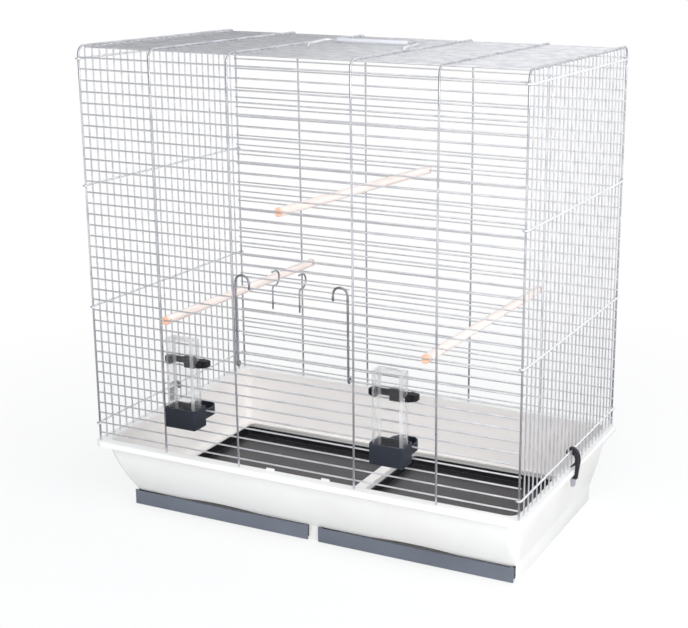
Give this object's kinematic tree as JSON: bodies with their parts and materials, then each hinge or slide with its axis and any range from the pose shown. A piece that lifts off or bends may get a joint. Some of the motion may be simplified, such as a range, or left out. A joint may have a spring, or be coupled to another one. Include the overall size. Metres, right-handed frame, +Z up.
{
  "type": "canary_breeding_cage",
  "caption": "Wire canary breeding cage on a cream tray with pull-out drawers, a drop-down front door, perches, clear tube feeders, side clips and a roof handle",
  "frame": {"origin": "On the ground, under the middle of the foot between the drawers, in the middle of the wire body", "axes": "X to the right along the width, Y from the front to the back, Z up"},
  "size_m": [0.5542, 0.3419, 0.5571],
  "materials": {
    "cream_plastic": "satin moulded",
    "slate_plastic": "fine grained",
    "plated_wire": "bright zinc plated",
    "beech": "raw turned beech",
    "charcoal_plastic": "smooth moulded",
    "black_plastic": "smooth moulded",
    "clear_plastic": "clear moulded",
    "white_plastic": "satin moulded"
  },
  "bodies": {
    "cage": {"base_tray": "cream_plastic", "front_grille": "plated_wire", "back_grille": "plated_wire", "roof_grille": "plated_wire", "left_grille": "plated_wire", "right_grille": "plated_wire", "perch_left": "beech", "perch_middle": "beech", "perch_right": "beech", "feeder_trough_left": "charcoal_plastic", "feeder_trough_right": "charcoal_plastic", "feeder_clip_left": "black_plastic", "feeder_clip_right": "black_plastic"},
    "left_drawer": {"drawer_left": "slate_plastic"},
    "right_drawer": {"drawer_right": "slate_plastic"},
    "door": {"front_door": "plated_wire", "door_catch_left": "plated_wire", "door_catch_right": "plated_wire"},
    "left_clip": {"side_clip_left": "black_plastic"},
    "right_clip": {"side_clip_right": "black_plastic"},
    "handle": {"carry_handle": "plated_wire", "handle_grip": "white_plastic"},
    "left_tube": {"feeder_tube_left": "clear_plastic"},
    "right_tube": {"feeder_tube_right": "clear_plastic"}
  },
  "joints": [
    {"name": "left_drawer_slide", "type": "slide", "parent": "cage", "child": "left_drawer", "axis": [0, -1, 0], "range_m": [0, 0.2]},
    {"name": "right_drawer_slide", "type": "slide", "parent": "cage", "child": "right_drawer", "axis": [0, -1, 0], "range_m": [0, 0.2]},
    {"name": "door_hinge", "type": "hinge", "parent": "cage", "child": "door", "pos_m": [0, -0.15435, 0.2135], "axis": [1, 0, 0], "range_deg": [0, 150]},
    {"name": "left_clip_hinge", "type": "hinge", "parent": "cage", "child": "left_clip", "pos_m": [-0.2669, 0, 0.1135], "axis": [0, 1, 0], "range_deg": [0, 105]},
    {"name": "right_clip_hinge", "type": "hinge", "parent": "cage", "child": "right_clip", "pos_m": [0.2669, 0, 0.1135], "axis": [0, -1, 0], "range_deg": [0, 105]},
    {"name": "handle_hinge", "type": "hinge", "parent": "cage", "child": "handle", "pos_m": [0, -0.00625, 0.5491], "axis": [1, 0, 0], "range_deg": [0, 120]},
    {"name": "left_tube_slide", "type": "slide", "parent": "cage", "child": "left_tube", "axis": [0, 0, 1], "range_m": [0, 0.11]},
    {"name": "right_tube_slide", "type": "slide", "parent": "cage", "child": "right_tube", "axis": [0, 0, 1], "range_m": [0, 0.11]}
  ]
}
